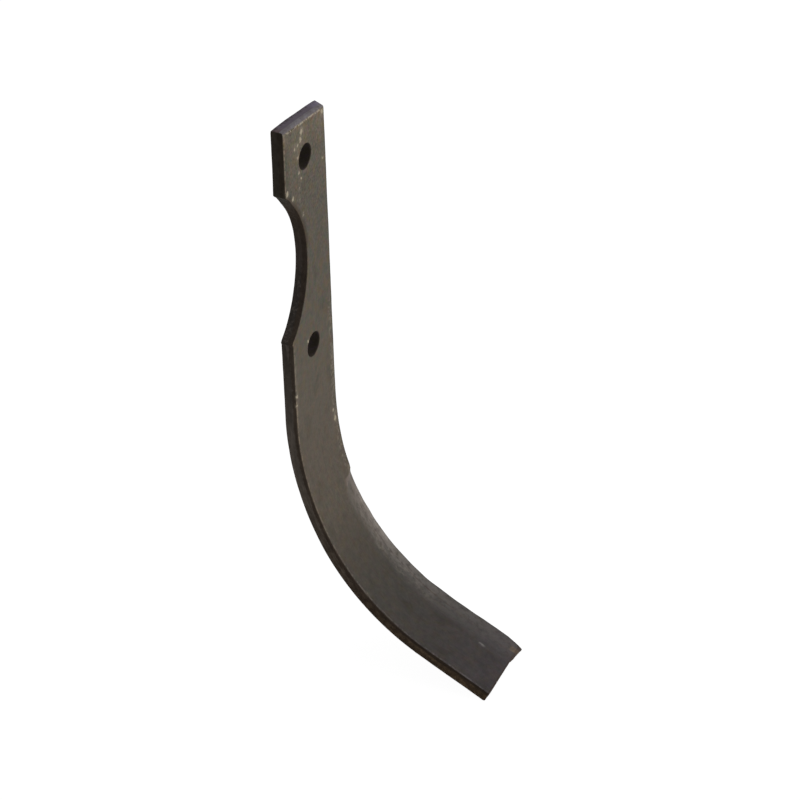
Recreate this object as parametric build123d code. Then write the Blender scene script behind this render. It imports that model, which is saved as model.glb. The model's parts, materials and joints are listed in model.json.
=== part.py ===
from build123d import *
from math import cos, radians, sin, tan
import os

# One blade of a rotary tiller: a flat spring steel bar with a straight shank that bolts to a hub
# flange, a round notch in the shank that clears the hub, and a bent lower end forged to a bevel.
# X runs across the bar towards the cutting edge, Y points out of the mounting face, which lies at
# Y = 0, and Z runs up the shank. The origin is midway between the two bolt holes.
# Sizes are in millimetres and angles in degrees. A place along the blade is a distance along its
# front face, which is the inside of the bends, from the start of the bends towards the tip.

# The bar
bar_thickness = 6.35
left_edge = 21.4             # from the line of the holes to the plain edge
right_edge = 25.3            # from the line of the holes to the cutting side, on the mounting face
edge_slant = 3.8             # the front face is this much narrower on the cutting side
edge_break = 0.5             # rounding of the long corners of the plain edge, notch and top end

# The shank
hole_spacing = 108.0
hole_diameter = 13.1
notch_radius = 54.0
notch_offset = 56.1          # from the line of the holes to the axis of the hub
top_height = 74.1            # of the sheared top end, on the line of the holes, without its bow
top_slope = 9.3              # the top end drops by this angle towards the cutting side
top_bow = 0.6                # the top end is bowed up by this in its middle
roll_drop = 1.5              # the shear rolled the top end's front edge over, from this far down
roll_radius = 2.9
roll_crease = 4.0            # the roll leaves the front face at this angle
corner_radius = 1.0          # of the bar's corners, seen from the front

# The bends, with their inside radii
bend_start = 87.4            # below the origin
upper_radius = 166.4
upper_angle = 23.9
lower_radius = 119.8
lower_angle = 38.9
tip_length = 38.1            # the flat end beyond the bends

# The forged cutting edge
bevel_length = 138.0         # back from the tip
run_out = 15.0               # the bevel sinks in over this length
bevel_width = 17.0           # where the bevel starts
bevel_width_tip = 21.4
edge_land = 0.9              # thickness left along the cutting edge
draw_in = 3.1                # the front corner of the cutting side moves in by this above the bevel
edge_hollow = 0.7            # how far the cutting edge lies in where the bevel starts
edge_flare = 1.6             # how far it stands out at the tip
flare_length = 95.0          # the edge swings out over this length, back from the tip
worn_length = 16.0           # the worn corner at the tip, along the cutting edge
worn_depth = 4.2             # the same corner, across the bar
end_swell = 2.0              # the forged edge reaches this far past the end
swell_start = 9.0            # the end swells out from here, across the bar, to the worn corner
end_skew = 0.4               # the end is out of square: its plain corner reaches out by this

blade_length = upper_radius * radians(upper_angle) + lower_radius * radians(lower_angle) + tip_length
bevel_start = blade_length - bevel_length
tip_edge = right_edge + edge_flare
spare = 12.0                 # blanks and cutting shapes reach this far past the finished part
clear = 3.0                  # cutting shapes stand this far off the faces of the bar
step = 12.0                  # between the sections of a cutting shape


def bar_line(depth):
    """The bar seen from the side: its line at a depth behind the front face, top to tip."""
    offset = depth - bar_thickness
    shank = Line((offset, top_height + left_edge), (offset, -bend_start))
    upper = JernArc(shank @ 1, shank % 1, upper_radius + depth, -upper_angle)
    lower = JernArc(upper @ 1, upper % 1, lower_radius + depth, -lower_angle)
    end = Line(lower @ 1, lower @ 1 + (tip_length + spare) * (lower % 1))
    return [shank, upper, lower, end]


def bent_bar():
    """The bar, bent but not yet cut to its outline."""
    front, back = bar_line(0), bar_line(bar_thickness)
    ends = [Line(front[0] @ 0, back[0] @ 0), Line(front[-1] @ 1, back[-1] @ 1)]
    side_view = make_face(front + back + ends)
    width = left_edge + tip_edge + 2 * spare
    return extrude(Plane.YZ.offset(-left_edge - spare) * side_view, width)


def top_line():
    """The sheared top end seen from the front, a shallow arc, and a straight line on past the bar."""
    drop = tan(radians(top_slope))
    left, right = [(x, top_height - drop * x) for x in (-left_edge, right_edge)]
    top = SagittaArc(left, right, top_bow)
    return top, Line(top @ 1, top @ 1 + 2 * spare * (top % 1))


def outline():
    """The bar seen from the front, with its sheared top, its notch and its bolt holes."""
    left, low = -left_edge, -bend_start - blade_length
    top, past = top_line()
    sides = Polyline(past @ 1, ((past @ 1).X, low), (left, low), top @ 0)
    bar = make_face([top, past, sides]) - Pos(-notch_offset, 0) * Circle(notch_radius)
    bottom_left, *corners = bar.vertices().group_by(Axis.X)[0].sort_by(Axis.Y)
    bar = fillet(corners, corner_radius)
    for height in (hole_spacing / 2, -hole_spacing / 2):
        bar -= Pos(0, height) * Circle(hole_diameter / 2)
    return extrude(Plane.XZ * bar, blade_length + spare, both=True)


def break_corners(bar):
    """Round the long sharp corners of the plain edge, the notch and the sheared top end."""
    long_edges = bar.edges().filter_by(Axis.Y, reverse=True).filter_by(lambda edge: not edge.is_closed)
    plain = [edge for edge in long_edges if edge.center().X < 0]
    top = [edge for edge in long_edges if 0 < edge.center().X < tip_edge and edge.center().Z > 0]
    return fillet(plain + top, edge_break)


def top_roll():
    """What the shear rolled away along the front edge of the top end, most of it in the middle."""
    top, past = top_line()
    left, right = [Vector(end.X, -bar_thickness, end.Y) for end in (top @ 0, top @ 1)]
    section = Plane(left, x_dir=(0, 1, 0), z_dir=right - left)
    crease = radians(roll_crease)
    rolled = JernArc((0, -roll_drop), (sin(crease), cos(crease)), roll_radius, roll_crease - 90)
    outside = Polyline(rolled @ 1, ((rolled @ 1).X, clear), (-clear, clear), (-clear, -roll_drop),
                       rolled @ 0)
    waste = section * make_face([rolled, outside])
    return extrude(waste, (right - left).length + spare, both=True)


def across(place):
    """The plane square across the blade at a place, with its Y axis out of the front face."""
    line = Wire((Plane.YZ * (Curve() + bar_line(0)[1:])).edges())
    point = line.position_at(place, position_mode=PositionMode.LENGTH)
    along = line.tangent_at(place, position_mode=PositionMode.LENGTH)
    return Plane(point, x_dir=(1, 0, 0), z_dir=along)


def ease(share):
    """A smooth step from 0 to 1."""
    share = min(max(share, 0), 1)
    return share * share * (3 - 2 * share)


def back_edge(place):
    """How far out the cutting side is on the mounting face."""
    flare = ease(1 - (blade_length - place) / flare_length)
    return right_edge - edge_hollow * ease(place / bevel_start) + (edge_hollow + edge_flare) * flare


def slant(place):
    """How much further out the cutting side is on the mounting face than on the front face."""
    return edge_slant + (draw_in - edge_hollow) * ease(place / bevel_start)


def side_section(place):
    """What is cut off past the slanted cutting side."""
    back, lean = back_edge(place), slant(place) / bar_thickness
    inner, outer, far = back - slant(place) - lean * clear, back + lean * clear, tip_edge + spare + clear
    top, bottom = clear, -bar_thickness - clear
    return across(place) * Polygon((inner, top), (far, top), (far, bottom), (outer, bottom), align=None)


def bevel_section(place):
    """What is cut off above the bevel. Where the bevel starts it lies higher, up to the front face."""
    depth = bar_thickness - edge_land
    edge = back_edge(place) - slant(place) * edge_land / bar_thickness
    share = (place - bevel_start) / bevel_length
    width = bevel_width + (bevel_width_tip - bevel_width) * share
    inner, outer, top = edge - width - clear, edge + spare + clear, depth + spare
    lift = depth * max(1 - (place - bevel_start) / run_out, 0) ** 2
    slope = depth / width
    bevel = [(inner, lift + slope * clear), (outer, lift - depth - slope * (spare + clear))]
    return across(place) * Polygon((outer, top), (inner, top), *bevel, align=None)


def places(first, last):
    """Evenly spaced places along the blade."""
    count = round((last - first) / step)
    return [first + (last - first) * i / count for i in range(count + 1)]


def side_cut():
    """What is cut off the cutting side, straight along the shank and drawn out along the blade."""
    shank = extrude(side_section(0), bend_start + top_height + left_edge, dir=(0, 0, 1))
    return shank + loft([side_section(place) for place in places(0, blade_length + spare / 2)])


def bevel_cut():
    """What is cut off for the bevel, with its short run-out."""
    shares = [i / 5 for i in range(-1, 5)]
    start = [bevel_start + run_out * share * abs(share) for share in shares]
    rest = places(bevel_start + run_out, blade_length + spare / 2)
    return loft([bevel_section(place) for place in start + rest])


def tip_cut():
    """What is cut off round the tip: its end, the swelling at the edge and its worn corner."""
    end = across(blade_length)
    left, right, bottom = -left_edge - spare, tip_edge + spare, -2 * spare
    plain_corner = RadiusArc((-left_edge, corner_radius - end_skew),
                             (-left_edge + corner_radius, -end_skew), corner_radius)
    worn_corner = TangentArc((tip_edge, worn_length), (tip_edge - worn_depth, -end_swell), tangent=(0, -1))
    end_line = Polyline(plain_corner @ 1, (swell_start, 0), worn_corner @ 1)
    outside = Polyline(worn_corner @ 0, (right, worn_length), (right, bottom), (left, bottom),
                       (left, corner_radius - end_skew), plain_corner @ 0)
    waste = make_face([plain_corner, end_line, worn_corner, outside])
    tip_face = Plane(end.origin, x_dir=(1, 0, 0), z_dir=end.y_dir)
    return extrude(tip_face * waste, bar_thickness + spare, both=True)


def blade():
    """The finished blade."""
    bar = break_corners(bent_bar() & outline())
    return bar - top_roll() - side_cut() - bevel_cut() - tip_cut()


os.makedirs("parts", exist_ok=True)
export_step(blade(), "parts/tiller_blade.step")
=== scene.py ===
"""The finished look of a rotary tiller blade: a bent, forged and hardened flat steel bar.

The skin is worked out as the blade is made. A flat bar has coordinates across (x), along (place,
from the start of the bends towards the tip) and deep (behind the front face). Its sheared, punched
and forged surfaces are grids in those coordinates, and bend() then carries them round the bends.
"""
import json
from math import cos, pi, radians, sin, tan

import bpy
import numpy as np
from mathutils import Matrix, Vector


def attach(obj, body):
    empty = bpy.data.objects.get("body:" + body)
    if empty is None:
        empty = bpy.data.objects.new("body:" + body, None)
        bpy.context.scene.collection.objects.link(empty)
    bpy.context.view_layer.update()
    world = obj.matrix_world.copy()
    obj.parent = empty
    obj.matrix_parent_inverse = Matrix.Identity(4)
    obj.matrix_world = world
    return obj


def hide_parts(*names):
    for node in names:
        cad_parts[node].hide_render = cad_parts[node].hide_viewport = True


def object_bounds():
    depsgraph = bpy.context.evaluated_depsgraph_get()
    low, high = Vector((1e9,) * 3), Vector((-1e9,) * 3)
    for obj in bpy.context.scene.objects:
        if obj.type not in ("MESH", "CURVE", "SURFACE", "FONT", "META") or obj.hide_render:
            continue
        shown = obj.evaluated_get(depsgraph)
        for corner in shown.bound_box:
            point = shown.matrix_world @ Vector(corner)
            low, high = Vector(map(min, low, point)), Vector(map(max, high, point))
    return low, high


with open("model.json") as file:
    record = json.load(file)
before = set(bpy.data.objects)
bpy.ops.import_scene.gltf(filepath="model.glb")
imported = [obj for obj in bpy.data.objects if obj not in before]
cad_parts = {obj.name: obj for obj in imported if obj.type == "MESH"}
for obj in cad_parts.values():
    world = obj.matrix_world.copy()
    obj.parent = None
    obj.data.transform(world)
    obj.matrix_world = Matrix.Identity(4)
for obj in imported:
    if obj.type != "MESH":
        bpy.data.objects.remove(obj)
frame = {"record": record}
cad_low, cad_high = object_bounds()
mounts = {mount["name"]: mount["dims"] for mount in frame["record"]["mounts"]}
mm = 0.001

# The bar and its shank
thickness = mounts["upper_bolt_hole"]["length_mm"] * mm
left_edge = -cad_low.x
right_edge = 25.3 * mm            # the cutting side, on the mounting face
edge_slant = 3.8 * mm             # the front face is this much narrower there
hole_radius = mounts["hub_bolts"]["hole_r_mm"] * mm
hole_heights = [side * mounts["hub_bolts"]["spacing_y_mm"] * mm / 2 for side in (1, -1)]
notch_radius = 54.0 * mm
notch_offset = 56.1 * mm
top_height = 74.1 * mm            # on the line of the holes, without the top end's bow
top_slope = radians(9.3)
top_bow = 0.6 * mm
roll_drop = 1.5 * mm              # the shear rolled the top end's front edge over
roll_radius = 2.9 * mm
roll_crease = radians(4.0)
corner_radius = 1.0 * mm

# The bends, with their inside radii
bend_start = 87.4 * mm
upper_radius = 166.4 * mm
upper_turn = radians(23.9)
lower_radius = 119.8 * mm
lower_turn = radians(38.9)
tip_length = 38.1 * mm
upper_length = upper_radius * upper_turn
lower_length = lower_radius * lower_turn
blade_length = upper_length + lower_length + tip_length
top_place = -bend_start - top_height

# The forged cutting edge
bevel_length = 138.0 * mm
bevel_start = blade_length - bevel_length
run_out = 15.0 * mm
bevel_width = 17.0 * mm
bevel_width_tip = 21.4 * mm
edge_land = 0.9 * mm
draw_in = 3.1 * mm
edge_hollow = 0.7 * mm
edge_flare = 1.6 * mm
flare_length = 95.0 * mm
worn_length = 16.0 * mm
worn_depth = 4.2 * mm
end_swell = 2.0 * mm
swell_start = 9.0 * mm
end_skew = 0.4 * mm
tip_edge = right_edge + edge_flare

# What the shear, the hammer and use left on the real blade
lean_in = 0.3 * mm                # the plain edge leans in by this at the top
lean_out = 0.45 * mm              # and out by this at the notch's upper corner
edge_roll = 0.8 * mm              # its front corner is rolled over by this much more at the top
burr = 0.8 * mm                   # just above the notch's lower corner
burr_above = 0.5 * mm
corner_lift = 1.2 * mm            # near its corners the notch's wall is pulled over by this, upwards
corner_reach = 4.0 * mm
edge_bulge = 0.33 * mm            # the cutting edge stands out by this
bulge_place = 139.0 * mm          # here
bulge_reach = 12.0 * mm
tip_wear = 0.4 * mm               # the worn corner at the tip is worn by this much more
tip_wear_place = blade_length - worn_length / 3    # here
tip_wear_reach = worn_length / 4
head_wear = 0.5 * mm              # the top end's front corner at the cutting side is worn down by this
head_wear_reach = 4.0 * mm        # over this width
break_out = 0.2 * mm              # the punch tore the holes wider by this towards the back
break_start, break_soft = 0.35, 0.3    # shares of the thickness
# The notch's two corners are this far above and below the origin
notch_corner = (notch_radius ** 2 - (notch_offset - left_edge) ** 2) ** 0.5

# How its corners and lines are rounded
notch_round = 0.3 * mm            # where the notch runs into the plain edge
inner_round = 0.6 * mm            # the inner line of the bevel
front_round = 0.5 * mm            # the plain edge's front corner
back_round = 0.4 * mm             # its back corner
heel_round = 0.35 * mm            # the cutting side's back corner
edge_round = 0.3 * mm             # the cutting edge
hole_round = 0.45 * mm            # the rims of the holes
end_rim = 0.35 * mm               # round each end, along the bar
rim_most = 0.35                   # of the thickness, where that is less
head_inset = (0.4 * mm, 0.35 * mm)    # the top end's rim draws in by this at the plain and cutting side
tip_inset = (0.3 * mm, 0.3 * mm)

# Spots on the front face, and the skin's relief, in millimetres
scuffs = [                        # pale and worn: across, place, radius, strength
    (-2.7, -156.5, 1.2, 1.0), (-4.2, -152.8, 1.1, 0.9), (-7.4, -151.1, 0.8, 0.8),
    (-10.4, -150.7, 0.8, 0.7), (-7.7, -144.8, 0.8, 0.8), (-7.0, -136.0, 0.9, 0.8),
    (-5.0, -131.8, 0.8, 0.7), (-7.2, -127.4, 0.8, 0.7), (-7.1, -121.8, 0.9, 0.6),
    (-4.6, -111.2, 1.1, 0.6), (-19.8, -131.5, 1.2, 0.9), (-14.5, -125.7, 1.1, 0.8),
    (19.4, -155.5, 1.3, 0.8), (17.9, -130.8, 1.0, 0.6), (-5.6, -38.5, 0.9, 0.9),
    (16.4, 17.5, 0.9, 0.8), (17.0, 22.8, 1.1, 0.9), (-20.4, -14.6, 0.8, 1.0),
    (-20.8, -9.5, 0.7, 0.8), (-20.6, 66.0, 0.9, 0.4), (-20.6, 108.0, 0.9, 0.4),
]
scuff_spread = 1.55
scuff_stretch = 1.15              # along the bar
nick = [(4.95, 170.9), (4.8, 172.0), (4.65, 173.1)]    # a bright nick near the tip: across, place
nick_radius = 0.6
nick_depth = 0.1
spot_depth = 0.6                  # spots lie on what is nearer to the front face than this
skin_rise = 0.18                  # the skin stands this far off the plain surfaces

# The skin's grids. Their cells are about this long, and shorter where the shape turns faster.
cell = 0.8 * mm
head_cell = 0.7 * mm
run_out_cell = 0.5 * mm
end_cell = 0.3 * mm
end_of_head = 3.2 * mm            # the shortest cells reach this far from the top end
end_of_tip = 1.6 * mm
columns_plain = 34
columns_bevel = 24
columns = columns_plain + columns_bevel
arc_cells = 6                     # round each long corner
wall_cells = 6                    # between the corners of a side
end_cells = 5                     # round the rim of each end
rim_cells = 4                     # round the rim of each hole
patch_cells = 8                   # from the rim of a hole out to its square patch
hole_margin = 3.0 * mm            # from a hole to the ends of its patch
same_place = 0.0001 * mm          # points nearer to each other than this are one
front_patch = (16, 42)            # the patch's first and last column on the front face
back_patch = (13, 39)             # and on the back, counted from the plain edge as well


def ease(share):
    """A smooth step from 0 to 1: three times the share squared, less twice its cube."""
    share = np.clip(share, 0, 1)
    return share * share * (3 - 2 * share)


def waves(points, size, seed, count=20):
    """Smooth random waves of unit strength: the sum of sines with random directions and phases.

    points has x, place and depth in its last axis, and size is the length of a wave, one number or
    one for each axis."""
    draw = np.random.default_rng(seed)
    direction = draw.normal(size=(count, 3))
    direction /= np.linalg.norm(direction, axis=1, keepdims=True)
    direction *= draw.uniform(0.6, 1.5, (count, 1)) * 2 * pi
    phase = draw.uniform(0, 2 * pi, count)
    return np.sin((points / size) @ direction.T + phase).sum(-1) * (2 / count) ** 0.5


def bend(x, place, depth):
    """Where a point of the flat bar is once the bar is bent.

    The front face's line runs straight down to the start of the bends, round two arcs that are
    tangent to each other, and straight on to the tip. The depth is laid off square behind it."""
    first = np.clip(place, 0, upper_length) / upper_radius
    second = np.clip(place - upper_length, 0, lower_length) / lower_radius
    beyond = np.maximum(place - upper_length - lower_length, 0)
    turn = first + second
    out = upper_radius * (1 - np.cos(first)) + beyond * np.sin(turn)
    out += lower_radius * (cos(upper_turn) - np.cos(upper_turn + second))
    down = bend_start + np.minimum(place, 0) + upper_radius * np.sin(first) + beyond * np.cos(turn)
    down += lower_radius * (np.sin(upper_turn + second) - sin(upper_turn))
    y = -thickness - out + depth * np.cos(turn)
    z = -down - depth * np.sin(turn)
    return np.stack([x + 0 * y, y, z], -1)


def above_notch(place):
    """0 up to the notch's upper corner, rising evenly to 1 at the top end."""
    return np.clip((-bend_start - place - notch_corner) / (top_height - notch_corner), 0, 1)


def plain_side(place):
    """The plain edge: the bar's side, or the notch's circle where that reaches further in.

    The way from the side in to the circle is half the sum of the gap and the root of its square plus
    a small square, which rounds the corner. Above the notch the side leans, from out to in. At the
    notch's corners two bell curves add the pull on its wall, and the burr."""
    height = -bend_start - place
    arc = np.sqrt(np.maximum(notch_radius ** 2 - height ** 2, 0)) - notch_offset
    near_corner = np.exp(-((np.abs(height) - notch_corner) / corner_reach) ** 2)
    arc = arc + corner_lift * np.sign(height) * near_corner
    up = above_notch(place)
    lean = np.where(height > 0, lean_in * up - lean_out * (1 - up), 0)
    lean = lean - burr * np.exp(-((height + notch_corner - burr_above) / mm) ** 2)
    side = -left_edge + lean
    gap = arc - side
    gap = (gap + np.sqrt(gap ** 2 + notch_round ** 2)) / 2
    return side + np.where(np.abs(height) < notch_radius, gap, 0)


def left_side(place):
    """The plain edge with the rounded corners at its ends, as quarter circles."""
    from_end = np.clip(np.minimum(place - top_place, blade_length - place), 0, corner_radius)
    half_chord = np.sqrt(corner_radius ** 2 - (corner_radius - from_end) ** 2)
    return plain_side(place) + corner_radius - half_chord


def top_line(x):
    """The place of the top end: a slanted line, less the height of its shallow bow."""
    middle, half = (right_edge - left_edge) / 2, (right_edge + left_edge) / 2
    return top_place + x * tan(top_slope) - top_bow * (1 - ((x - middle) / half) ** 2)


def head_drop(x, depth):
    """How far the top end's corner at the cutting side is worn down: a parabola that ends at the
    slanted side, and is half as deep at the back."""
    front = np.clip(1 - depth / thickness, 0, 1)
    from_side = right_edge - edge_slant * front - x
    return head_wear * np.clip(1 - from_side / head_wear_reach, 0, 1) ** 2 * (0.5 + 0.5 * front)


def roll_height(x, place):
    """How far a place is above the line where the top end's front edge starts to roll over."""
    return roll_drop - (place - top_place - x * tan(top_slope)) * cos(top_slope)


def roll_depth(x, place):
    """How deep that edge is rolled over there: a circle's arc, square to the top end's chord."""
    height = roll_height(x, place)
    sine = np.clip(sin(roll_crease) + np.maximum(height, 0) / roll_radius, 0, 1)
    return roll_radius * (cos(roll_crease) - np.sqrt(1 - sine ** 2)) * (height > 0)


def worn_edge(place):
    """The worn corner at the tip: an arc that leaves the cutting edge without a kink, less a bell
    curve of further wear."""
    reach = worn_length + end_swell
    radius = (reach ** 2 + worn_depth ** 2) / (2 * worn_depth)
    along = np.clip(place - blade_length + worn_length, 0, reach)
    wear = tip_wear * np.exp(-((place - tip_wear_place) / tip_wear_reach) ** 2)
    return tip_edge - radius + np.sqrt(radius ** 2 - along ** 2) - wear


def back_edge(place):
    """How far out the cutting side is on the mounting face."""
    flare = ease(1 - (blade_length - place) / flare_length)
    hollow = edge_hollow * ease(place / bevel_start)
    bulge = edge_bulge * np.exp(-((place - bulge_place) / bulge_reach) ** 2)
    return right_edge - hollow + (edge_hollow + edge_flare) * flare + bulge


def slant(place):
    """How much further out the cutting side is on the mounting face than on the front face."""
    return edge_slant + (draw_in - edge_hollow) * ease(place / bevel_start)


def bevel_lines(place):
    """The bevel's inner line, its slope, and how far it still lies above its place as it runs out."""
    full_depth = thickness - edge_land
    share = (place - bevel_start) / bevel_length
    width = bevel_width + (bevel_width_tip - bevel_width) * np.clip(share, 0, 1)
    edge = back_edge(place) - slant(place) * edge_land / thickness
    lift = full_depth * np.maximum(1 - (place - bevel_start) / run_out, 0) ** 2
    return edge - width, full_depth / width, lift


def bevel_depth(x, place):
    """Depth of the bevel below the front face, negative outside it."""
    inner, slope, lift = bevel_lines(place)
    return slope * (x - inner) - lift


def front_depth(x, place):
    """Depth of the front surface: half the sum of the bevel's depth and the root of its square plus
    a small square, which comes down softly to 0 past the bevel's inner line."""
    below = bevel_depth(x, place)
    return (below + np.sqrt(below ** 2 + inner_round ** 2)) / 2


def cutting_side(place):
    """How far out the cutting side's front and back corners are.

    Where the bevel has cut the front corner away, it is where the bevel meets the slanted side."""
    inner, slope, lift = bevel_lines(place)
    lean = slant(place) / thickness
    front = back_edge(place) - slant(place)
    meet = (front - inner - lift / slope) / (1 / slope - lean)
    outer = front + lean * np.clip(meet, 0, thickness)
    return np.minimum(outer, worn_edge(place)), np.minimum(back_edge(place), worn_edge(place))


def corner_arc(before, corner, after):
    """Points inside a rounded corner, on the parabola that is tangent to both of its sides."""
    share = np.linspace(0, 1, arc_cells + 1)[1:-1, None, None]
    arc = (1 - share) ** 2 * before + 2 * share * (1 - share) * corner + share ** 2 * after
    return list(arc)


def line(first, last, cells):
    """Evenly spaced points from the first to the last, both included."""
    share = np.linspace(0, 1, cells + 1)[:, None, None]
    return list(first + (last - first) * share)


def toward(point, target, length):
    """The point this far from one point on the way to another."""
    step = target - point
    return point + step * length / np.linalg.norm(step, axis=-1, keepdims=True)


def section_rings(place):
    """The cross-section at each place, as one closed ring of points (across, deep).

    It runs from the middle of the front left corner across the front and down the bevel, down the
    cutting side, back across the mounting face and up the plain edge. Each corner is rounded."""
    def pair(across, deep):
        return np.stack([across + 0 * place, deep + 0 * place], -1)

    left = left_side(place)
    inner = bevel_lines(place)[0]
    outer, back_right = cutting_side(place)
    front_left, back_left = pair(left, 0), pair(left, thickness)
    edge = pair(outer, front_depth(outer, place))
    heel = pair(back_right, thickness)
    inside = pair(outer - mm, front_depth(outer - mm, place))

    front_first = pair(left + front_round + edge_roll * above_notch(place), 0)
    front_last = toward(edge, inside, edge_round)
    side_first, side_last = toward(edge, heel, edge_round), toward(heel, edge, heel_round)
    back_first, back_last = toward(heel, back_left, heel_round), toward(back_left, heel, back_round)
    wall_first = toward(back_left, front_left, back_round)
    wall_last = toward(front_left, back_left, front_round)

    # The front's columns are even along the shank. Below it, one runs along the bevel's inner line.
    even = front_first[:, 0] + (front_last[:, 0] - front_first[:, 0]) * columns_plain / columns
    guide = even + (inner - even) * ease(place / bevel_start)
    share = np.arange(columns + 1)[:, None]
    plain = front_first[:, 0] + (guide - front_first[:, 0]) * share / columns_plain
    forged = guide + (front_last[:, 0] - guide) * (share - columns_plain) / columns_bevel
    across = np.where(share <= columns_plain, plain, forged)
    front = list(np.stack([across, front_depth(across, place[None, :])], -1))
    first_corner = corner_arc(wall_last, front_left, front[0])
    half = arc_cells // 2
    ring = first_corner[half - 1:] + front + corner_arc(front[-1], edge, side_first)
    ring += line(side_first, side_last, wall_cells) + corner_arc(side_last, heel, back_first)
    ring += line(back_first, back_last, columns) + corner_arc(back_last, back_left, wall_first)
    ring += line(wall_first, wall_last, wall_cells) + first_corner[:half - 1]
    return np.stack(ring, 1)


# Where on a ring the front starts, the middles of the next two corners are, the back starts, and the
# middle of the last corner is
front_columns = arc_cells // 2
side_middle = front_columns + columns + arc_cells // 2
heel_middle = side_middle + arc_cells + wall_cells
back_columns = heel_middle + arc_cells // 2
back_middle = back_columns + columns + arc_cells // 2


def spaced(first, last, length=cell):
    """Evenly spaced places from the first to just before the last, about this far apart."""
    count = round((last - first) / length)
    return first + (last - first) * np.arange(count) / count


def row_places():
    """The places of the skin's rows, and the rows at which each hole's square patch starts and ends."""
    margin = hole_radius + hole_margin
    stops = [-bend_start - height + side * margin for height in hole_heights for side in (-1, 1)]
    near_top, near_tip = top_place + end_of_head, blade_length - end_of_tip
    full_bevel = bevel_start + run_out
    parts = [spaced(top_place + end_rim, near_top, end_cell), spaced(near_top, stops[0], head_cell)]
    parts += [spaced(a, b) for a, b in zip(stops, stops[1:] + [bevel_start])]
    parts += [spaced(bevel_start, full_bevel, run_out_cell), spaced(full_bevel, near_tip)]
    parts += [spaced(near_tip, blade_length - end_rim, end_cell), [blade_length - end_rim]]
    starts = np.cumsum([len(part) for part in parts])
    return np.concatenate(parts), [(starts[1], starts[2]), (starts[3], starts[4])]


def rim_share(ring, place):
    """How near each ring point is to the front surface, 1 on it and 0 on the back face, and how thick
    the bar is there, which the slanted cutting side takes down to nothing."""
    x, depth = ring[..., 0], ring[..., 1]
    edge, heel = ring[:, [side_middle]], ring[:, [heel_middle]]
    beside = (x - edge[..., 0]) / (heel[..., 0] - edge[..., 0])
    beside = edge[..., 1] + beside * (heel[..., 1] - edge[..., 1])
    surface = np.where(x > edge[..., 0], beside, front_depth(x, place[:, None]))
    local = np.maximum(thickness - surface, 0.05 * mm)
    return np.clip((thickness - depth) / local, 0, 1), local


def end_slide(x, depth, place, patch_start):
    """How far the rows near the ends slide along the bar, until they follow the top end's slanted
    and bowed line, and the tip's line, which is out of square and swells towards the worn corner."""
    top_share = np.clip((patch_start - place) / (patch_start - place[0]), 0, 1)[:, None]
    tip_share = ease((place - blade_length + worn_length) / (worn_length - end_rim))[:, None]
    worn_corner = tip_edge - worn_depth
    swell = end_swell * np.clip((x - swell_start) / (worn_corner - swell_start), 0, 1)
    skew = end_skew * np.clip((swell_start - x) / (swell_start + left_edge - corner_radius), 0, 1)
    return top_share * (top_line(x) + head_drop(x, depth) - top_place) + tip_share * (swell + skew)


def end_rows(ring, near_front, local, inset, direction):
    """The rounded rim of an end, up the bar for a direction of -1 and down it for 1.

    As its rows near the end by the sine of an angle, they are squeezed by one less the cosine: at the
    front and back, and at the plain and the cutting side."""
    x = ring[:, 0]
    share = (x - x.min()) / (x.max() - x.min())
    inward = inset[0] * (1 - share) - inset[1] * share
    reach = np.minimum(end_rim, local * rim_most)
    angle = np.linspace(0, pi / 2, end_cells + 1)[1:, None]
    squeeze = 1 - np.cos(angle)
    along = direction * end_rim * np.sin(angle) + 0 * inward
    return ring + np.stack([squeeze * inward, along, squeeze * reach * (2 * near_front - 1)], -1)


def rolled_over(flat):
    """The skin with the top end's front edge rolled over. The bar's depth is squeezed behind the
    roll, and the cutting side's slant goes on up to it."""
    x, place, depth = np.moveaxis(flat, -1, 0)
    deeper = roll_depth(x, place) * np.clip(1 - depth / thickness, 0, 1)
    beside = ease((x - right_edge + edge_slant) / (2 * mm) + 1)
    return np.stack([x + beside * deeper * edge_slant / thickness, place, depth + deeper], -1)


def flat_skin():
    """The skin of the flat bar without its ends, as rows of rings of points (x, place, depth)."""
    place, holes = row_places()
    ring = section_rings(place)
    near_front, local = rim_share(ring, place)
    along = place[:, None] + end_slide(ring[..., 0], ring[..., 1], place, place[holes[0][0]])
    flat = np.stack([ring[..., 0], along, ring[..., 1]], -1)
    head = end_rows(flat[0], near_front[0], local[0], head_inset, -1)
    tip = end_rows(flat[-1], near_front[-1], local[-1], tip_inset, 1)
    flat = np.concatenate([head[::-1], flat, tip])
    return rolled_over(flat), [(a + end_cells, b + end_cells) for a, b in holes]


def grid_quads(rows, width, closed):
    """The faces of a grid of points, row by row, as four indices each."""
    columns_across = width if closed else width - 1
    row, column = np.meshgrid(np.arange(rows - 1), np.arange(columns_across), indexing="ij")
    after = (column + 1) % width
    above, below = row * width, (row + 1) * width
    return np.stack([above + column, below + column, below + after, above + after], -1)


def end_cap(ring, turned):
    """An end of the bar: the surface spread between four sides of a ring.

    It is the sum of the two straight blends between opposite sides, less the blend of the corners."""
    front, side = ring[:side_middle + 1], ring[side_middle:heel_middle + 1]
    back = ring[heel_middle:back_middle + 1][::-1]
    wall = np.concatenate([ring[back_middle:], ring[:1]])[::-1]
    u = np.linspace(0, 1, len(front))[None, :, None]
    v = np.linspace(0, 1, len(side))[:, None, None]
    cap = (1 - v) * front + v * back + (1 - u) * wall[:, None] + u * side[:, None]
    cap -= (1 - v) * ((1 - u) * front[0] + u * front[-1]) + v * ((1 - u) * back[0] + u * back[-1])
    cap[0], cap[-1], cap[:, 0], cap[:, -1] = front, back, wall, side
    quads = grid_quads(*cap.shape[:2], False)
    return cap.reshape(-1, 3), quads[..., ::-1] if turned else quads


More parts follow.
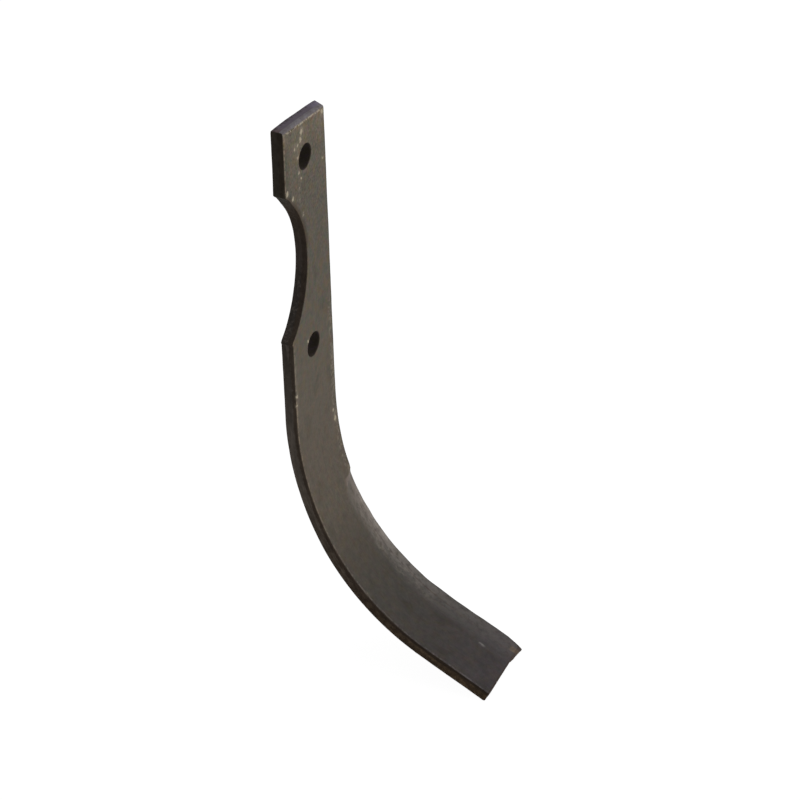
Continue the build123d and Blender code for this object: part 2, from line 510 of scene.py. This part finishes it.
def square_loop(grid):
    """The points round the outside of a grid, once round."""
    return np.concatenate([grid[0, :-1], grid[:-1, -1], grid[-1, :0:-1], grid[:0:-1, 0]])


def hole_surface(front_loop, back_loop, middle):
    """A hole with its surroundings, as rings.

    They shrink evenly from a square patch of the front face to the hole's rounded rim, run down its
    wall, and grow again to a square patch of the back face. The rims are quarter circles. Towards
    the back the wall is wider by a smooth step."""
    away = front_loop[:, [0, 1]] - middle
    angle = np.arctan2(away[:, 1], away[:, 0])
    round_it = np.stack([np.cos(angle), np.sin(angle), 0 * angle], -1)
    centre = np.array([*middle, 0])
    turn = np.linspace(0, pi / 2, rim_cells + 1)[1:]
    less_sine, less_cosine = hole_round * (1 - np.sin(turn)), hole_round * (1 - np.cos(turn))
    wall = hole_round + (thickness - 2 * hole_round) * np.arange(1, patch_cells + 1) / patch_cells
    depth = np.concatenate([less_cosine, wall, thickness - less_sine])
    radius = hole_radius + np.concatenate([less_sine, 0 * wall, less_cosine])
    radius += break_out * ease((depth / thickness - break_start) / break_soft)
    wall = centre + radius[:, None, None] * round_it + depth[:, None, None] * np.array([0, 0, 1])
    share = np.linspace(0, 1, patch_cells + 1)[:, None, None]
    first = centre + (hole_radius + hole_round) * round_it
    last = wall[-1] + (back_loop - wall[-1]) * share[1:]
    last[-1] = back_loop
    rings = np.concatenate([front_loop + (first - front_loop) * share, wall, last])
    return rings.reshape(-1, 3), grid_quads(*rings.shape[:2], True)


def around_holes(flat, blocks):
    """The skin's quads with the square patches round the holes left out, and the holes' surfaces."""
    quads = grid_quads(*flat.shape[:2], True)
    surfaces = []
    for (first, last), height in zip(blocks, hole_heights):
        middle = np.array([0, -bend_start - height])
        start, stop = [front_columns + column for column in front_patch]
        quads[first:last, start:stop] = -1
        front = flat[first:last + 1, start:stop + 1]
        stop, start = [back_columns + columns - column for column in back_patch]
        quads[first:last, start:stop] = -1
        back = flat[first:last + 1, start:stop + 1][:, ::-1]
        surfaces.append(hole_surface(square_loop(front), square_loop(back), middle))
    quads = quads.reshape(-1, 4)
    return quads[quads[:, 0] >= 0], surfaces


def welded(surfaces):
    """One surface from several that share their border points, with each point kept once."""
    starts = np.cumsum([0] + [len(points) for points, _ in surfaces[:-1]])
    points = np.concatenate([points for points, _ in surfaces])
    quads = np.concatenate([quads.reshape(-1, 4) + start for start, (_, quads) in zip(starts, surfaces)])
    rounded = np.round(points / same_place).astype(np.int64)
    _, kept, same = np.unique(rounded, axis=0, return_index=True, return_inverse=True)
    used, quads = np.unique(same.reshape(-1)[quads], return_inverse=True)
    return points[kept[used]], quads.reshape(-1, 4)


def point_normals(points, quads):
    """The normal at each point: the sum of its faces' normals, each as long as its area."""
    across = points[quads[:, 2]] - points[quads[:, 0]]
    along = points[quads[:, 3]] - points[quads[:, 1]]
    face = np.cross(across, along)
    total = np.zeros_like(points)
    for corner in range(4):
        np.add.at(total, quads[:, corner], face)
    return total / np.linalg.norm(total, axis=1, keepdims=True)


def spots(flat, places, radius, stretch=1.0):
    """Spots on the front, each a bell curve of the distance from its place in millimetres.

    They can be stretched along the bar."""
    across, along = (flat[:, :2, None] / mm - np.transpose(places)[None]).swapaxes(0, 1)
    away = np.hypot(across, along / stretch)
    return np.exp(-(away / radius) ** 2) * (flat[:, [2]] < spot_depth * mm)


def surface_marks(flat, normal):
    """What made each part of the skin, as shares from 0 to 1 that change over smooth steps.

    head: the top end with its rolled edge. cut: the other sheared and punched faces, whose normal in
    the flat bar doesn't face the front or the back. hole: the walls of the holes. bevel: the forged
    face. scuff: pale worn spots. nick: a bright one. Only reach is no share: it is the millimetres in
    from the plain edge, in from the cutting edge, and up the top end's rolled edge."""
    x, place, depth = flat.T
    sideways, lengthways, facing = normal.T
    rolled = roll_height(x, place)
    reach = np.stack([x - plain_side(place), cutting_side(place)[0] - x, rolled], -1) / mm
    head = ease((rolled - 0.6 * mm) / (0.4 * mm)) * ease((0.5 - facing) / 0.3)
    head = head * ease((0.8 - np.abs(sideways)) / 0.3)
    from_middles = [np.hypot(x, place + bend_start + height) for height in hole_heights]
    hole = ease((hole_radius + 0.35 * mm - np.min(from_middles, 0)) / (0.2 * mm))
    cutting = ease((x - 12 * mm) / (2 * mm)) * (np.abs(lengthways) < 0.8) * (1 - hole)
    cut = ease((0.9 - np.abs(facing)) / 0.5) * (1 - cutting) * (1 - head)
    bevel = ease(bevel_depth(x, place) / (1.2 * mm)) * (place > bevel_start - mm)
    worn = np.array(scuffs)
    scuff = spots(flat, worn[:, :2], scuff_spread * worn[:, 2], scuff_stretch) * worn[:, 3]
    bright = spots(flat, nick, nick_radius)
    return {"reach": reach, "head": head, "cut": cut, "hole": hole, "bevel": bevel,
            "scuff": scuff.max(1), "nick": bright.max(1)}


def relief(flat, marks):
    """How far the real surface lies off the plain one, along its normal.

    The faces wave a little, the bevel has shallow forging marks, and a sheared or punched face is
    smooth and finely scored near the front, and torn and set back by a ragged step behind that. The
    heights of the waves are in millimetres."""
    share = flat[:, 2] / thickness
    outline = flat * [1, 1, 0]
    rolled = 0.035 * waves(flat, 30 * mm, 1) + 0.012 * waves(flat, 8 * mm, 2)
    forged = 0.06 * waves(flat, np.array([9, 13, 9]) * mm, 3)
    tear_line = 0.46 + 0.06 * waves(outline, 7 * mm, 4) + 0.03 * waves(outline, 2 * mm, 5)
    torn = ease((share - tear_line) / 0.08)
    scored = 0.018 * waves(flat, np.array([1.5, 1.5, 14]) * mm, 6)
    ragged = torn * (0.05 * waves(flat, np.array([2.6, 2.6, 3.4]) * mm, 7) - 0.1)
    level = skin_rise + rolled + marks["bevel"] * forged + marks["cut"] * (scored + ragged)
    return (level - nick_depth * marks["nick"]) * mm


def make_mesh(name, points, quads, normals, marks):
    """A mesh of quads with smooth normals and its marks as point attributes."""
    mesh = bpy.data.meshes.new(name)
    mesh.from_pydata(points.tolist(), [], quads.tolist())
    mesh.update()
    mesh.polygons.foreach_set("use_smooth", np.ones(len(quads), bool))
    for mark, values in marks.items():
        kind, field = ("FLOAT_VECTOR", "vector") if values.ndim == 2 else ("FLOAT", "value")
        attribute = mesh.attributes.new(mark, kind, "POINT")
        attribute.data.foreach_set(field, values.astype(np.float32).ravel())
    mesh.normals_split_custom_set_from_vertices(normals.tolist())
    piece = bpy.data.objects.new(name, mesh)
    bpy.context.scene.collection.objects.link(piece)
    return piece


def blade_skin():
    """The whole skin of the blade: its long faces, its two ends and its two bolt holes, bent."""
    flat, blocks = flat_skin()
    quads, holes = around_holes(flat, blocks)
    ends = [end_cap(flat[0], True), end_cap(flat[-1], False)]
    points, quads = welded([(flat.reshape(-1, 3), quads)] + ends + holes)
    marks = surface_marks(points, point_normals(points, quads))
    bent = bend(*points.T)
    bent += point_normals(bent, quads) * relief(points, marks)[:, None]
    marks["flat"] = points / mm
    return make_mesh("blade_skin", bent, quads, point_normals(bent, quads), marks)


# Materials

class Value:
    """One output of a material's node. Arithmetic on it adds Math nodes."""

    def __init__(self, material, socket):
        self.material, self.socket = material, socket

    def math(self, operation, first, second):
        """Add a Math node that works on two values."""
        return self.material.node("ShaderNodeMath", {"operation": operation}, {0: first, 1: second})

    def __add__(self, other):
        return self.math("ADD", self, other)

    def __sub__(self, other):
        return self.math("SUBTRACT", self, other)

    def __mul__(self, other):
        return self.math("MULTIPLY", self, other)

    def __truediv__(self, other):
        return self.math("DIVIDE", self, other)

    def __rsub__(self, other):
        return self.math("SUBTRACT", other, self)

    __radd__, __rmul__ = __add__, __mul__

    def step(self, low, high):
        """0 at low, 1 at high, smooth between and level past them. With low above high it falls."""
        settings = {"interpolation_type": "SMOOTHSTEP"}
        inputs = {"Value": self, "From Min": low, "From Max": high}
        return self.material.node("ShaderNodeMapRange", settings, inputs)

    def between(self, low, high, soft):
        """1 between low and high, falling to 0 over a soft width past them."""
        return self.step(low - soft, low) * self.step(high + soft, high)


class Material:
    """A material, or the world's surround, built from nodes, with one method that adds any node."""

    def __init__(self, name, library=bpy.data.materials):
        self.data = library.new(name)
        self.data.use_nodes = True
        self.nodes, self.links = self.data.node_tree.nodes, self.data.node_tree.links
        self.nodes.clear()

    def node(self, kind, settings=None, inputs=None, output=0):
        """Add a node, make its settings, then give its inputs values or links. Returns one output.

        The setting stops gives a colour ramp's positions and colours."""
        node = self.nodes.new(kind)
        for name, value in (settings or {}).items():
            if name == "stops":
                self.set_stops(node.color_ramp.elements, value)
            else:
                setattr(node, name, value)
        for name, value in (inputs or {}).items():
            if isinstance(value, Value):
                self.links.new(value.socket, node.inputs[name])
            else:
                node.inputs[name].default_value = value
        return Value(self, node.outputs[output])

    @staticmethod
    def set_stops(elements, stops):
        """Give a ramp its stops. It starts with one at each end."""
        for position, _ in stops[1:-1]:
            elements.new(position)
        for element, (position, colour) in zip(elements, stops):
            element.position, element.color = position, colour

    def ramp(self, value, stops):
        """A colour that follows a value, from the colour at each of its stops."""
        low, high = min(stops), max(stops)
        share = (value - low) / (high - low)
        places = [((stop - low) / (high - low), colour) for stop, colour in stops.items()]
        return self.node("ShaderNodeValToRGB", {"stops": places}, {0: share})

    def levels(self, value, stops):
        """A number that follows a value, from the number at each of its stops."""
        return self.ramp(value, {stop: (level,) * 4 for stop, level in stops.items()})

    def mark(self, name, output="Fac"):
        """One of the piece's own point attributes."""
        return self.node("ShaderNodeAttribute", {"attribute_name": name}, output=output)

    def parts(self, vector):
        """The three numbers of a vector."""
        first = self.node("ShaderNodeSeparateXYZ", inputs={0: vector})
        return [Value(self, socket) for socket in first.socket.node.outputs]

    def noise(self, where, size, detail=2.0, roughness=0.5, distortion=0.0):
        """Cloudy noise about 0.5, with a size in the units of its place, one number or one an axis."""
        scale = [1 / length for length in (size if isinstance(size, tuple) else (size,) * 3)]
        place = self.node("ShaderNodeVectorMath", {"operation": "MULTIPLY"}, {0: where, 1: scale})
        inputs = {"Vector": place, "Scale": 1.0, "Detail": detail, "Roughness": roughness,
                  "Distortion": distortion}
        return self.node("ShaderNodeTexNoise", inputs=inputs)

    def mix(self, share, first, second):
        """A colour between two colours."""
        inputs = {"Factor": share, 6: first, 7: second}
        return self.node("ShaderNodeMix", {"data_type": "RGBA"}, inputs, output=2)

    def tinted(self, share, colour, tint):
        """A colour multiplied by a tint, by a share."""
        settings = {"data_type": "RGBA", "blend_type": "MULTIPLY"}
        inputs = {"Factor": share, 6: colour, 7: (*tint, 1.0)}
        return self.node("ShaderNodeMix", settings, inputs, output=2)

    def shade(self, colour, strength):
        """A colour made brighter or darker."""
        return self.node("ShaderNodeVectorMath", {"operation": "SCALE"}, {0: colour, "Scale": strength})

    def surface(self, shader, end="ShaderNodeOutputMaterial"):
        """Give what was built its shader, and return it."""
        self.links.new(shader.socket, self.nodes.new(end).inputs["Surface"])
        return self.data


def tone(red, green, blue):
    """A screen colour of 0 to 255 a channel, as linear light."""
    channels = [channel / 255 for channel in (red, green, blue)]
    linear = [c / 12.92 if c <= 0.04045 else ((c + 0.055) / 1.055) ** 2.4 for c in channels]
    return (*linear, 1.0)


class Textures:
    """The patterns that the finishes of the steel share, in the flat bar's millimetres."""

    def __init__(self, steel):
        self.flat = steel.mark("flat", "Vector")
        self.x, self.place, self.depth = steel.parts(self.flat)
        self.from_left, self.from_edge, self.rolled = steel.parts(steel.mark("reach", "Vector"))
        # Wide clouds and blotches, tints, streaks along the bar, fine grain, and ragged borders
        self.cloud = steel.noise(self.flat, (11.0, 19.0, 11.0), 3.0, 0.5)
        self.blotch = steel.noise(self.flat, 3.6, 4.0, 0.62, 0.3)
        self.tint = steel.noise(self.flat, (4.5, 7.0, 4.5), 4.0, 0.65)
        self.hue = steel.noise(self.flat, (2.6, 3.4, 2.6), 3.0, 0.6)
        self.streak = steel.noise(self.flat, (1.1, 17.0, 1.6), 3.0, 0.6)
        self.scored = steel.noise(self.flat, (0.9, 20.0, 1.5), 3.0, 0.6)
        self.grain = steel.noise(self.flat, 0.75, 3.0, 0.6)
        self.speck = steel.noise(self.flat, (1.2, 1.6, 1.2), 2.0, 0.5)
        self.ragged = steel.noise(self.flat, (2.2, 3.4, 2.2), 3.0, 0.65)


def scale_and_shade_colour(steel, at):
    """The rolled faces under their scale: mottled brown by the bends, then greyer and plainer, and
    darker towards the tip, partly as painted shade.
    """
    # Darker from the bends to the tip: partly the scale's own tone, partly painted shade where the face
    # turns up, away from the key lamp
    colour = steel.ramp(at.place, {
        -165.0: tone(101, 93, 81), -148.0: tone(95, 88, 77), -120.0: tone(88, 82, 73),
        -80.0: tone(87, 81, 72), -20.0: tone(89, 82, 72), 30.0: tone(90, 82, 73),
        60.0: tone(87, 80, 71), 85.0: tone(76, 70, 63), 110.0: tone(70, 66, 61),
        140.0: tone(70, 66, 63), 189.0: tone(70, 65, 66)})
    mottled = 0.45 + 0.55 * at.place.step(20.0, -70.0)
    colour = steel.tinted(at.tint.step(0.49, 0.38) * mottled, colour, (0.87, 0.97, 1.02))
    colour = steel.tinted(at.tint.step(0.5, 0.62) * mottled, colour, (1.09, 1.0, 0.82))
    colour = steel.tinted(at.hue.step(0.5, 0.63) * mottled, colour, (1.08, 0.93, 1.04))
    colour = steel.tinted(at.hue.step(0.49, 0.37) * mottled, colour, (0.93, 1.03, 0.88))
    colour = steel.tinted(at.cloud.step(0.52, 0.7), colour, (0.84, 0.85, 0.83))
    by_hole = at.x.between(-10.0, -3.0, 6.0) * at.place.between(-162.0, -150.0, 9.0)
    colour = steel.tinted(by_hole * at.ragged.step(0.35, 0.6) * 0.7, colour, (1.3, 1.28, 1.2))
    by_corner = at.x.between(11.0, 18.0, 5.0) * at.place.between(-164.0, -150.0, 8.0)
    colour = steel.tinted(by_corner * at.ragged.step(0.3, 0.55) * 0.6, colour, (1.3, 1.2, 1.2))
    dull = at.from_left.step(6.5, 2.5) * at.place.between(-151.0, -128.0, 7.0)
    colour = steel.tinted(dull, colour, (0.8, 0.83, 0.82))
    fine = (at.speck - 0.5) * (0.25 + 0.95 * at.place.step(-50.0, -125.0))
    return steel.shade(colour, 0.44 + 0.62 * at.blotch + 0.28 * at.grain + 0.24 * at.streak + fine)


def bevel_colour(steel, at, scale):
    """The forged face: worn paler towards the cutting edge and partly painted sheen, most of all in the
    bends; with a painted highlight band and a painted shade line.
    """
    strength = at.place.step(190.0, 70.0)
    rise = at.x.step(4.0, 24.0) * (0.45 + 0.55 * at.place.step(54.0, 70.0))
    # Pale tones of worn metal, also standing in for painted sheen where the bevel catches the light
    pale = steel.ramp(at.place, {
        56.0: tone(119, 109, 102), 72.0: tone(124, 115, 108), 90.0: tone(134, 126, 119),
        118.0: tone(124, 118, 113), 140.0: tone(112, 107, 103), 189.0: tone(111, 106, 103)})
    colour = steel.mix(rise * (0.3 + 0.5 * strength) * at.blotch.step(0.2, 0.6), scale, pale)
    # Painted highlight: a bright band along the cutting side in the lower bend
    band = at.x.between(20.8, 23.2, 1.2) * at.place.between(72.0, 98.0, 9.0)
    colour = steel.mix(band * at.ragged.step(0.3, 0.6) * 0.4, colour, tone(152, 144, 136))
    # Painted shade: a dark line along a facet's crease in the bevel
    facet_shade = (at.x + 1.2 * at.ragged).between(17.5, 18.1, 0.45) * at.place.between(80.0, 145.0, 8.0)
    colour = steel.mix(facet_shade * at.ragged.step(0.35, 0.55) * 0.5, colour, tone(72, 56, 52))
    inner = at.x.between(10.0, 17.0, 3.0) * at.place.between(80.0, 130.0, 12.0)
    return steel.mix(at.blotch.step(0.5, 0.62) * inner * 0.25, colour, tone(124, 118, 108))


def sheared_and_shaded_colour(steel, at):
    """The plain edge and the notch: dark, partly their own tone and partly painted shade as they face
    away from the lamps, with a browner band next to the front face.
    """
    back = steel.ramp(at.place, {
        -165.0: tone(56, 50, 44), -128.0: tone(55, 52, 45), -118.0: tone(54, 44, 34),
        -85.0: tone(66, 59, 54), -60.0: tone(57, 53, 50), -30.0: tone(69, 63, 57),
        10.0: tone(88, 81, 74), 60.0: tone(82, 74, 66), 110.0: tone(76, 64, 52),
        189.0: tone(82, 67, 50)})
    front = steel.ramp(at.place, {
        -165.0: tone(48, 42, 35), -128.0: tone(50, 44, 36), -118.0: tone(52, 42, 32),
        -85.0: tone(58, 50, 44), -40.0: tone(63, 55, 48), 0.0: tone(70, 61, 52),
        60.0: tone(65, 55, 47), 120.0: tone(58, 48, 40), 189.0: tone(52, 43, 35)})
    line = (at.depth + 2.4 * at.ragged + at.place.step(-60.0, 0.0)).step(3.5, 4.4)
    colour = steel.mix(line, front, back)
    dark = at.blotch.step(0.42, 0.56) * line * at.place.step(30.0, 100.0)
    colour = steel.mix(dark * 0.65, colour, tone(46, 36, 28))
    pale = at.streak.step(0.5, 0.66) * line * at.place.between(-70.0, 80.0, 30.0)
    colour = steel.mix(pale * 0.35, colour, tone(116, 106, 98))
    return steel.shade(colour, 0.8 * at.ragged + 0.3 * at.grain + 0.95 * at.scored - 0.03)


def head_colour(steel, at):
    """The top end: bluish where the shear rolled it over, and purple with dark scores behind that; its
    pale tone is partly painted light on the upturned end and its rolled strip.
    """
    colour = steel.mix(at.blotch.step(0.4, 0.6), tone(101, 95, 97), tone(112, 108, 112))
    score = steel.noise(at.flat, (2.0, 4.0, 3.0), 3.0, 0.6).step(0.44, 0.56)
    purple = steel.mix(at.x.step(12.0, 19.0), tone(88, 80, 89), tone(106, 99, 115))
    purple = steel.mix(at.x.step(-15.0, -20.0) * 0.6, purple, tone(90, 72, 68))
    purple = steel.mix(score * at.depth.step(3.6, 5.4) * 0.75, purple, tone(46, 37, 42))
    colour = steel.mix((at.depth + 0.8 * at.ragged).step(2.2, 2.7), colour, purple)
    return steel.shade(colour, 0.55 + 0.5 * at.ragged + 0.4 * at.grain)


def rubbed_and_highlit(steel, at, colour):
    """The long corners: pale, partly worn bare and partly a painted highlight on their rounded front
    corners, and dark at the thin cutting edge.
    """
    # The plain edge's front corner: pale, partly worn bare and partly a painted highlight
    arris = at.from_left.between(0.35, 0.7, 0.45) * at.depth.step(1.0, 0.5)
    strength = steel.levels(at.place, {
        -160.0: 0.4, -130.0: 0.45, -122.0: 0.0, -60.0: 0.08, -40.0: 0.35, -15.0: 0.7, 10.0: 0.55,
        30.0: 0.3, 60.0: 0.3, 130.0: 0.2, 189.0: 0.4})
    pale = steel.mix(at.place.step(40.0, 160.0), tone(146, 130, 112), tone(122, 116, 116))
    broken = (0.6 * at.speck + 0.8 * at.ragged).step(0.6, 0.8)
    colour = steel.mix(arris * strength * broken, colour, pale)
    # A pale sheen painted on the face beside that corner, above the bends
    glow = at.from_left.step(3.2, 0.8) * at.place.between(-38.0, 0.0, 10.0) * at.blotch.step(0.35, 0.6)
    colour = steel.mix(glow * 0.35, colour, tone(122, 112, 98))
    brown = at.from_left.step(3.6, 0.8) * at.place.between(-127.0, -96.0, 9.0)
    colour = steel.mix(brown * 0.7, colour, tone(64, 52, 41))
    # The top end's rolled crest: partly worn bare, partly a painted highlight
    crest = at.rolled.between(0.1, 0.7, 0.45) * at.depth.step(1.2, 0.6)
    colour = steel.mix(crest * at.speck.step(0.42, 0.6) * 0.7, colour, tone(168, 158, 142))
    chips = (at.blotch + 0.5 * at.speck).step(0.74, 0.84) * at.from_edge.between(0.8, 3.6, 1.4)
    colour = steel.mix(chips * at.place.between(-40.0, 46.0, 16.0) * 0.35, colour, tone(138, 129, 114))
    return steel.mix(at.from_edge.step(0.9, 0.2) * 0.55, colour, tone(44, 40, 36))


def scaled_steel():
    """Hot-worked steel under its scale, with its forged, sheared and worn places, and with painted shade
    and highlights in its colour.
    """
    steel = Material("scaled_steel")
    at = Textures(steel)
    cut = steel.mark("cut")
    # The scale's colour, with painted shade towards the tip
    scale = scale_and_shade_colour(steel, at)
    colour = steel.mix(steel.mark("bevel"), scale, bevel_colour(steel, at, scale))
    # Painted highlight: a pinkish crescent where the bevel runs out of the face
    start = at.place.between(56.8, 59.5, 1.6) * at.x.step(8.5, 11.5) * at.depth.step(2.5, 1.5)
    colour = steel.mix(start * at.blotch.step(0.3, 0.5) * 0.25, colour, tone(156, 136, 130))
    colour = rubbed_and_highlit(steel, at, colour)
    colour = steel.mix(cut, colour, sheared_and_shaded_colour(steel, at))
    colour = steel.mix(steel.mark("head"), colour, head_colour(steel, at))
    # The holes' walls: partly the punched steel's tone, partly painted shade inside the holes
    punched = steel.mix(at.ragged.step(0.48, 0.62), tone(54, 49, 41), tone(58, 50, 52))
    colour = steel.mix(steel.mark("hole"), colour, punched)
    scuff = steel.mark("scuff")
    colour = steel.mix(scuff * 0.35, colour, tone(140, 130, 112))
    worn = (scuff + at.speck + 0.6 * at.ragged).step(1.2, 1.6)
    colour = steel.mix(worn * 0.85, colour, tone(168, 157, 136))
    colour = steel.mix(steel.mark("nick") * 0.6, colour, tone(150, 146, 142))
    rust = at.x.between(16.5, 19.5, 1.5) * at.place.step(184.0, 187.5) * at.depth.step(6.0, 5.0)
    colour = steel.mix(rust * at.blotch.step(0.3, 0.55) * 0.5, colour, tone(132, 112, 86))
    tip = (at.place - blade_length / mm).step(-0.9, -0.2)
    colour = steel.mix(tip * 0.5, colour, tone(62, 46, 38))

    rough = 0.46 + 0.12 * at.blotch + 0.1 * at.grain + 0.1 * cut
    height = 0.5 * at.grain + 0.35 * at.blotch + 0.3 * at.streak
    bump = steel.node("ShaderNodeBump", None, {"Strength": 0.3, "Distance": 0.0001, "Height": height})
    inputs = {"Base Color": colour, "Metallic": 0.25 - 0.22 * cut, "Roughness": rough,
              "Specular IOR Level": 0.03, "Normal": bump}
    return steel.surface(steel.node("ShaderNodeBsdfPrincipled", None, inputs))


# The piece

skin = blade_skin()
skin.data.materials.append(scaled_steel())
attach(skin, "root")
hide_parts("tiller_blade")


# The stage

white = (1.0, 1.0, 1.0, 1.0)
floor_grey = (0.85, 0.85, 0.85, 1.0)
floor_glow = 1.18                 # makes up for the grey floor's darker share
floor_share = 0.8                 # of what is seen of the floor. The rest takes the shadow.
floor_reach = 6.0
surround_level = 0.35             # how brightly the surround lights things, where 1 is white
lamp_distance = 1.6
lamp_size = 1.2
lamps = {                         # each one's direction and level
    "key": ((0.25, -1.0, 0.15), 0.65),
    "top": ((0.3, -0.2, 1.0), 0.1),
    "back": ((0.35, 1.0, 0.1), 0.4),
}


def background_share(material):
    """1 for what the camera, a reflection or clear glass sees, 0 for the light that falls on things."""
    seen = material.node("ShaderNodeLightPath", output="Is Camera Ray")
    for kind in ("Is Glossy Ray", "Is Transmission Ray"):
        seen = seen + material.node("ShaderNodeLightPath", output=kind)
    return seen


def pale_floor():
    """A matt floor that looks white and keeps a soft shadow."""
    floor = Material("pale_floor")
    matt = floor.node("ShaderNodeBsdfDiffuse", None, {"Color": floor_grey})
    glow = floor.node("ShaderNodeEmission", None, {"Color": white, "Strength": floor_glow})
    share = background_share(floor) * floor_share
    return floor.surface(floor.node("ShaderNodeMixShader", None, {0: share, 1: matt, 2: glow}))


def make_floor(level):
    """A flat floor at a level."""
    mesh = bpy.data.meshes.new("floor")
    corners = [(-1, -1), (1, -1), (1, 1), (-1, 1)]
    mesh.from_pydata([(x * floor_reach, y * floor_reach, level) for x, y in corners], [], [(0, 1, 2, 3)])
    floor = bpy.data.objects.new("floor", mesh)
    bpy.context.scene.collection.objects.link(floor)
    mesh.materials.append(pale_floor())


def white_surround(level):
    """A surround that looks white and lights things at a level."""
    world = Material("studio", bpy.data.worlds)
    dim = world.node("ShaderNodeBackground", None, {"Color": white, "Strength": level})
    plain = world.node("ShaderNodeBackground", None, {"Color": white, "Strength": 1.0})
    mixed = world.node("ShaderNodeMixShader", None, {0: background_share(world), 1: dim, 2: plain})
    bpy.context.scene.world = world.surface(mixed, "ShaderNodeOutputWorld")


def soft_lamp(name, direction, level):
    """A square lamp that lights a surface facing it to a level, where 1 shows a colour as written.

    A lamp of some power at a distance gives the power over pi squared times the distance squared."""
    data = bpy.data.lights.new(name, "AREA")
    data.shape, data.size = "SQUARE", lamp_size
    data.energy = level * (pi * lamp_distance) ** 2
    lamp = bpy.data.objects.new(name, data)
    bpy.context.scene.collection.objects.link(lamp)
    middle = Vector((cad_low + cad_high) / 2)
    towards = Vector(direction).normalized()
    lamp.location = middle + towards * lamp_distance
    lamp.rotation_euler = towards.to_track_quat("Z", "Y").to_euler()


# The photograph's view, which was fitted to the blade's outline
view_side = radians(64.404)          # the camera stands this far round from the front, to the notch
view_height = radians(35.399)
view_roll = radians(-1.523)
view_distance = 1.4696               # from the plane through the origin's place on the front face
pixels_per_metre = 2059.5            # in that plane
origin_pixel = (309.144, 252.075)
frame_size = 800                     # in pixels
sensor_width = 36.0
clip_near, clip_far = 0.05, 50.0


def make_camera():
    """The camera, from its three angles and the pixel at which it sees the front face's origin."""
    level = Vector((-sin(view_side), -cos(view_side), 0))
    back = level * cos(view_height) + Vector((0, 0, sin(view_height)))
    right = Vector((cos(view_side), -sin(view_side), 0))
    up = back.cross(right)
    turn = Matrix.Rotation(view_roll, 3, back)
    right, up = turn @ right, turn @ up
    aside = (frame_size / 2 - origin_pixel[0]) / pixels_per_metre
    below = (frame_size / 2 - origin_pixel[1]) / pixels_per_metre
    place = Vector((0, -thickness, 0)) + right * aside - up * below + back * view_distance
    data = bpy.data.cameras.new("camera")
    data.sensor_width = sensor_width
    data.lens = pixels_per_metre * view_distance / frame_size * sensor_width
    data.clip_start, data.clip_end = clip_near, clip_far
    camera = bpy.data.objects.new("camera", data)
    bpy.context.scene.collection.objects.link(camera)
    camera.matrix_world = Matrix.Translation(place) @ Matrix((right, up, back)).transposed().to_4x4()
    bpy.context.scene.camera = camera


make_floor(cad_low.z)
white_surround(surround_level)
for name, (direction, level) in lamps.items():
    soft_lamp(name, direction, level)
make_camera()
bpy.context.scene.view_settings.view_transform = "Standard"
